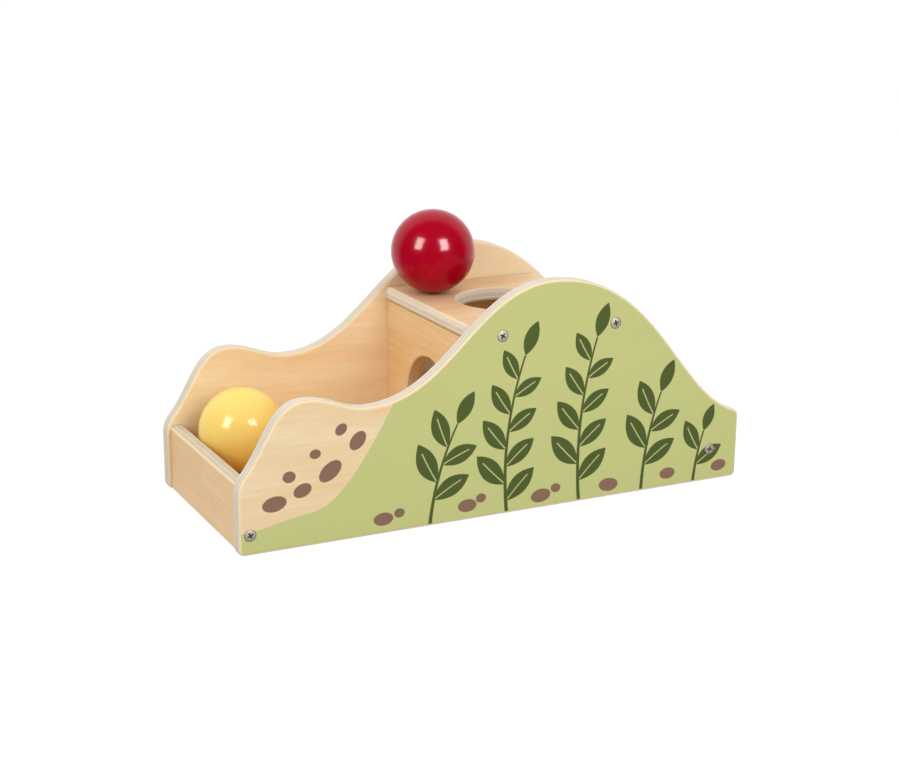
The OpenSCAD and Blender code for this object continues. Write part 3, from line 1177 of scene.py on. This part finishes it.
@dataclass
class Studio:
    """Camera, floor and light, in metres and degrees. The picture is taken to be 900 by 767 pixels.

    floor_pool is where the light on the floor starts to fade and where it ends, in millimetres from the
    toy's middle. A turn is where the backdrop or the ceiling starts and where it is in full light, as
    cosines of the angle from its middle. Backdrop and room have one brightness as light, one in gloss
    and one as seen.
    """

    azimuth: float = -26.669
    elevation: float = 15.937
    roll: float = 0.544
    distance: float = 0.961059
    aim: Vector = field(default_factory=lambda: Vector((-0.002582, 0, 0.056306)))
    picture_width: float = 900.0
    focal_pixels: float = 1750.917
    sensor: float = 36.0
    floor_half: float = 9.0
    floor_colour: Colour = srgb(108, 108, 107)
    floor_seen: Colour = srgb(241, 241, 241)
    floor_dim: Colour = srgb(208, 208, 208)
    floor_bounce: Colour = srgb(178, 178, 177)
    floor_pool: Span = (390.0, 760.0)
    floor_roughness: float = 0.9
    floor_shine: float = 0.1
    backdrop_turn: Span = (0.02, 0.38)
    ceiling_turn: Span = (0.3, 0.9)
    backdrop: float = 1.25
    room: float = 0.36
    ceiling: float = 0.38
    mirrored_backdrop: float = 1.2
    mirrored_room: float = 0.03
    seen_backdrop: float = 1.2
    seen_room: float = 0.76
    softboxes: tuple[Softbox, ...] = (
        Softbox(
            "left_softbox", right=-0.58, up=0.31, back=0.75,
            width=0.43, height=0.64, matt_power=5.95, gloss_power=31.0,
        ),
        Softbox(
            "right_softbox", right=0.50, up=0.27, back=0.82,
            width=0.46, height=0.66, matt_power=6.05, gloss_power=37.0,
        ),
    )
    glossy: tuple[str, str] = ("_ball", "_screw")

    def axes(self) -> Matrix:
        """Works out the camera's turn.

        Returns:
            The turn, with the camera's right, up and back directions as columns.
        """
        azimuth, elevation, roll = (math.radians(a) for a in (self.azimuth, self.elevation, self.roll))
        level = math.cos(elevation)
        back = Vector((math.sin(azimuth) * level, -math.cos(azimuth) * level, math.sin(elevation)))
        right = Vector((math.cos(azimuth), math.sin(azimuth), 0))
        up = back.cross(right)
        tilted_right = right * math.cos(roll) + up * math.sin(roll)
        tilted_up = up * math.cos(roll) - right * math.sin(roll)
        return Matrix((tilted_right, tilted_up, back)).transposed()

    def _backward(self) -> Vector:
        """The level direction from the toy to the backdrop."""
        away = -self.axes().col[2]
        return Vector((away.x, away.y, 0)).normalized()

    def build(self) -> None:
        """Sets up the camera, the floor, the backdrop's light and the softboxes."""
        scene = bpy.context.scene
        scene.view_settings.view_transform = "Standard"
        self._camera(scene)
        self._floor(scene)
        self._surroundings(scene)
        glossy = self._glossy_pieces()
        for box in self.softboxes:
            self._softbox(scene, box, glossy)

    def _glossy_pieces(self) -> bpy.types.Collection:
        """Gathers the pieces that alone mirror the softboxes; the wood's lacquer is too dull for that.

        Returns:
            The balls and screws.
        """
        pieces = bpy.data.collections.new("glossy_pieces")
        for name, node in frame["nodes"].items():
            if name.endswith(self.glossy):
                pieces.objects.link(node)
        return pieces

    def _camera(self, scene: bpy.types.Scene) -> None:
        """Stands the camera where the photograph was taken.

        Args:
            scene: The scene that it looks at.
        """
        lens = bpy.data.cameras.new("camera")
        lens.sensor_fit = "HORIZONTAL"
        lens.sensor_width = self.sensor
        lens.lens = self.focal_pixels * self.sensor / self.picture_width
        camera = bpy.data.objects.new("camera", lens)
        turn = self.axes()
        camera.matrix_world = Matrix.Translation(self.aim + turn.col[2] * self.distance) @ turn.to_4x4()
        scene.collection.objects.link(camera)
        scene.camera = camera
        log.info("camera: lens %.2f mm", lens.lens)

    def _floor(self, scene: bpy.types.Scene) -> None:
        """Lays a plain pale, glowing floor: a painted pool of light, white behind and round the toy, dimmer
        on the camera's side.

        Args:
            scene: The scene that it lies in.
        """
        mesh = bpy.data.meshes.new("floor")
        shape = bmesh.new()
        bmesh.ops.create_grid(shape, x_segments=1, y_segments=1, size=self.floor_half)
        shape.to_mesh(mesh)
        shape.free()
        floor = bpy.data.objects.new("floor", mesh)
        scene.collection.objects.link(floor)
        graph = Graph.of_material("pale_floor")
        place = graph.place()
        reach = graph.node("ShaderNodeVectorMath", {"operation": "LENGTH"}, {0: place}, "Value")
        behind = graph.ease(graph.dot(place, self._backward()) / reach, self.backdrop_turn)
        lit = behind | (1 - graph.ease(reach, self.floor_pool))
        shown = graph.mix(lit, self.floor_dim, self.floor_seen)
        # The floor glows: to the camera a painted pool of light, to the toy a painted bounce light.
        seen = graph.node("ShaderNodeLightPath", output="Is Camera Ray")
        mesh.materials.append(graph.coat({
            "Base Color": self.floor_colour,
            "Roughness": self.floor_roughness,
            "Specular IOR Level": self.floor_shine,
            "Emission Color": graph.mix(seen, self.floor_bounce, shown),
            "Emission Strength": 1.0,
        }))
        floor.visible_glossy = False
        log.info("floor: laid")

    def _surroundings(self, scene: bpy.types.Scene) -> None:
        """Makes the room: a bright backdrop and ceiling, and a camera's side that gloss sees dark.

        Args:
            scene: The scene that it surrounds.
        """
        world = bpy.data.worlds.new("studio")
        world.use_nodes = True
        scene.world = world
        graph = Graph(world.node_tree)
        direction = graph.node("ShaderNodeTexCoord", output="Generated")
        bright = graph.ease(graph.dot(direction, self._backward()), self.backdrop_turn)
        overhead = graph.ease(graph.dot(direction, Along.HEIGHT.value), self.ceiling_turn)
        lit = self.room + bright * (self.backdrop - self.room) + overhead * self.ceiling
        mirrored = self.mirrored_room + bright * (self.mirrored_backdrop - self.mirrored_room)
        seen = graph.node("ShaderNodeLightPath", output="Is Camera Ray")
        lit = lit + seen.outlet("Is Glossy Ray") * (mirrored - lit)
        shown = self.seen_room + bright * (self.seen_backdrop - self.seen_room)
        strength = lit + seen * (shown - lit)
        light = graph.node("ShaderNodeBackground", None, {"Color": WHITE, "Strength": strength})
        graph.node("ShaderNodeOutputWorld", None, {"Surface": light})

    def _softbox(self, scene: bpy.types.Scene, box: Softbox, glossy: bpy.types.Collection) -> None:
        """Hangs one softbox, turned to the toy, as a lamp for matt surfaces and a lamp for gloss.

        Args:
            scene: The scene that it hangs in.
            box: The softbox.
            glossy: The pieces that mirror it.
        """
        toward = (self.axes() @ Vector((box.right, box.up, box.back))).normalized()
        turn = toward.to_track_quat("Z", "Y").to_matrix().to_4x4()
        lamps = (
            (Surface.MATT, box.matt_power, box.distance),
            (Surface.GLOSS, box.gloss_power, box.distance - box.gloss_lead),
        )
        for surface, power, distance in lamps:
            lamp = bpy.data.lights.new(f"{box.name}_{surface.value}", "AREA")
            lamp.shape = "RECTANGLE"
            lamp.size = box.width
            lamp.size_y = box.height
            lamp.energy = power
            light = bpy.data.objects.new(lamp.name, lamp)
            light.matrix_world = Matrix.Translation(self.aim + toward * distance) @ turn
            light.visible_diffuse = surface is Surface.MATT
            light.visible_glossy = surface is Surface.GLOSS
            if surface is Surface.GLOSS:
                light.light_linking.receiver_collection = glossy
            scene.collection.objects.link(light)
            log.info("%s: %.1f W", lamp.name, lamp.energy)


def write_sizes() -> None:
    """Brings the view layer up to date."""
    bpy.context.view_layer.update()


def main() -> None:
    """Dresses the toy part by part, and sets up the studio."""
    logging.basicConfig(level=logging.INFO, format="%(message)s")
    Studio().build()
    panels = SidePanels()
    panels.build()
    panels.dress()
    Boards().dress()
    Balls().dress()
    Screws().dress(panels.outer_face)
    Dowels().dress()
    write_sizes()


if __name__ == "__main__":
    main()
